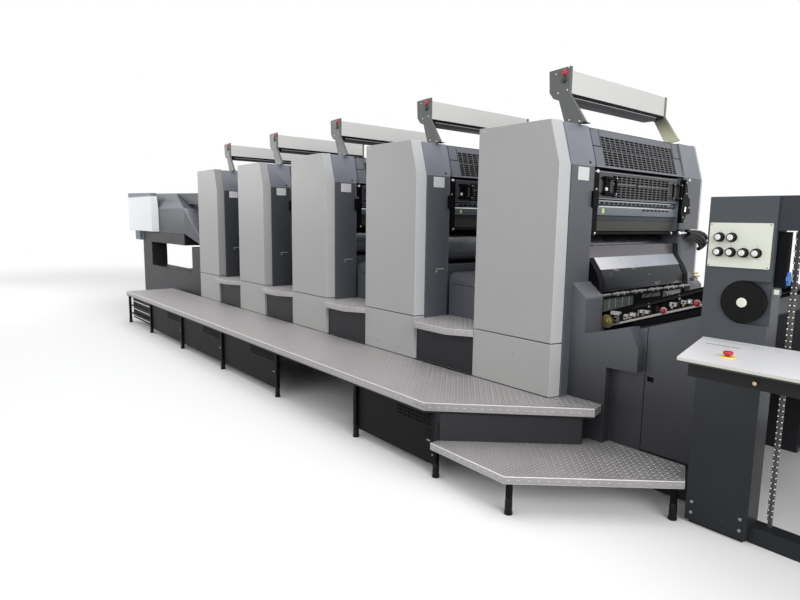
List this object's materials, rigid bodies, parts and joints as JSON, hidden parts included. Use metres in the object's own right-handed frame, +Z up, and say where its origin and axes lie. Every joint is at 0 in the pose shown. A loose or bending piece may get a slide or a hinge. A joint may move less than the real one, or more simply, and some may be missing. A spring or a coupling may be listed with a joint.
{
  "type": "sheet-fed offset printing press",
  "caption": "Long sheet-fed offset printing press with feeder, printing units in line, delivery, tread-plate galleries and hinged ink guards.",
  "frame": {"origin": "centre of the press's footprint, on the floor", "axes": "+X along the press to the feeder, -Y to the operator's side, +Z up"},
  "size_m": [10.78, 3.114, 2.404],
  "materials": {
    "housing_grey": "satin slate paint",
    "cover_grey": "satin light grey paint",
    "guard_black": "semi-matt black paint",
    "cylinder_steel": "ground steel",
    "beam_white": "satin white paint",
    "tread_plate": "worn aluminium tread plate",
    "panel_charcoal": "satin charcoal paint",
    "bright_steel": "polished steel",
    "feed_steel": "worn sheet steel",
    "feeder_slate": "satin slate paint",
    "pile_timber": "worn board",
    "panel_cream": "satin cream paint",
    "wheel_black": "moulded black",
    "table_white": "satin white paint",
    "stop_red": "red button",
    "knob_white": "moulded white",
    "hood_charcoal": "satin charcoal paint"
  },
  "bodies": {
    "press": {"unit_1_housing": "housing_grey", "unit_2_housing": "housing_grey", "unit_3_housing": "housing_grey", "unit_4_housing": "housing_grey", "unit_5_housing": "housing_grey", "unit_1_covers": "cover_grey", "unit_2_covers": "cover_grey", "unit_3_covers": "cover_grey", "unit_4_covers": "cover_grey", "unit_5_covers": "cover_grey", "unit_1_fixed_guards": "guard_black", "unit_2_fixed_guards": "guard_black", "unit_3_fixed_guards": "guard_black", "unit_4_fixed_guards": "guard_black", "unit_5_fixed_guards": "guard_black", "cylinders": "cylinder_steel", "overhead_beams": "beam_white", "machine_bed": "housing_grey", "gallery_decks": "tread_plate", "gallery_posts": "guard_black", "gallery_panels": "panel_charcoal", "footboards": "tread_plate", "infeed_housing": "housing_grey", "infeed_guard": "bright_steel", "feed_board": "feed_steel", "register_gear": "bright_steel", "feeder_frame": "feeder_slate", "feeder_head": "feeder_slate", "control_panel": "panel_cream", "console_table": "table_white", "delivery_frames": "panel_charcoal", "delivery_hood": "hood_charcoal", "delivery_slope": "hood_charcoal", "delivery_end_covers": "cover_grey"},
    "ink_guard_1": {"unit_1_ink_guard": "guard_black"},
    "ink_guard_2": {"unit_2_ink_guard": "guard_black"},
    "ink_guard_3": {"unit_3_ink_guard": "guard_black"},
    "ink_guard_4": {"unit_4_ink_guard": "guard_black"},
    "ink_guard_5": {"unit_5_ink_guard": "guard_black"},
    "infeed_door": {"infeed_door": "housing_grey"},
    "pile_board": {"pile_board": "pile_timber"},
    "handwheel": {"handwheel": "wheel_black"},
    "stop_button": {"stop_button": "stop_red"},
    "knob_1": {"knob_1": "knob_white"},
    "knob_2": {"knob_2": "knob_white"},
    "knob_3": {"knob_3": "knob_white"},
    "knob_4": {"knob_4": "knob_white"},
    "knob_5": {"knob_5": "knob_white"},
    "knob_6": {"knob_6": "knob_white"}
  },
  "joints": [
    {"name": "ink_guard_1_hinge", "type": "hinge", "parent": "press", "child": "ink_guard_1", "pos_m": [3.363, 0, 1.792], "axis": [0, -1, 0], "range_deg": [0, 90]},
    {"name": "ink_guard_2_hinge", "type": "hinge", "parent": "press", "child": "ink_guard_2", "pos_m": [2.123, 0, 1.792], "axis": [0, -1, 0], "range_deg": [0, 90]},
    {"name": "ink_guard_3_hinge", "type": "hinge", "parent": "press", "child": "ink_guard_3", "pos_m": [0.883, 0, 1.792], "axis": [0, -1, 0], "range_deg": [0, 90]},
    {"name": "ink_guard_4_hinge", "type": "hinge", "parent": "press", "child": "ink_guard_4", "pos_m": [-0.357, 0, 1.792], "axis": [0, -1, 0], "range_deg": [0, 90]},
    {"name": "ink_guard_5_hinge", "type": "hinge", "parent": "press", "child": "ink_guard_5", "pos_m": [-1.597, 0, 1.792], "axis": [0, -1, 0], "range_deg": [0, 90]},
    {"name": "infeed_door_hinge", "type": "hinge", "parent": "press", "child": "infeed_door", "pos_m": [4.1395, -0.6863, 0.56], "axis": [0, 0, 1], "range_deg": [0, 95]},
    {"name": "pile_lift", "type": "slide", "parent": "press", "child": "pile_board", "axis": [0, 0, 1], "range_m": [-0.62, 0.36]},
    {"name": "handwheel_spin", "type": "hinge", "parent": "press", "child": "handwheel", "pos_m": [4.376, -0.865, 1.134], "axis": [0, -1, 0], "continuous": true},
    {"name": "knob_1_turn", "type": "hinge", "parent": "press", "child": "knob_1", "pos_m": [4.254, -0.873, 1.4255], "axis": [0, -1, 0], "range_deg": [-140, 140]},
    {"name": "knob_2_turn", "type": "hinge", "parent": "press", "child": "knob_2", "pos_m": [4.3075, -0.873, 1.4255], "axis": [0, -1, 0], "range_deg": [-140, 140]},
    {"name": "knob_3_turn", "type": "hinge", "parent": "press", "child": "knob_3", "pos_m": [4.254, -0.873, 1.358], "axis": [0, -1, 0], "range_deg": [-140, 140]},
    {"name": "knob_4_turn", "type": "hinge", "parent": "press", "child": "knob_4", "pos_m": [4.3075, -0.873, 1.358], "axis": [0, -1, 0], "range_deg": [-140, 140]},
    {"name": "knob_5_turn", "type": "hinge", "parent": "press", "child": "knob_5", "pos_m": [4.361, -0.873, 1.358], "axis": [0, -1, 0], "range_deg": [-140, 140]},
    {"name": "knob_6_turn", "type": "hinge", "parent": "press", "child": "knob_6", "pos_m": [4.4145, -0.873, 1.358], "axis": [0, -1, 0], "range_deg": [-140, 140]},
    {"name": "stop_button_press", "type": "slide", "parent": "press", "child": "stop_button", "axis": [0, 0, -1], "range_m": [0, 0.005], "stiffness_N_per_m": 1000, "springref_m": -0.003}
  ]
}
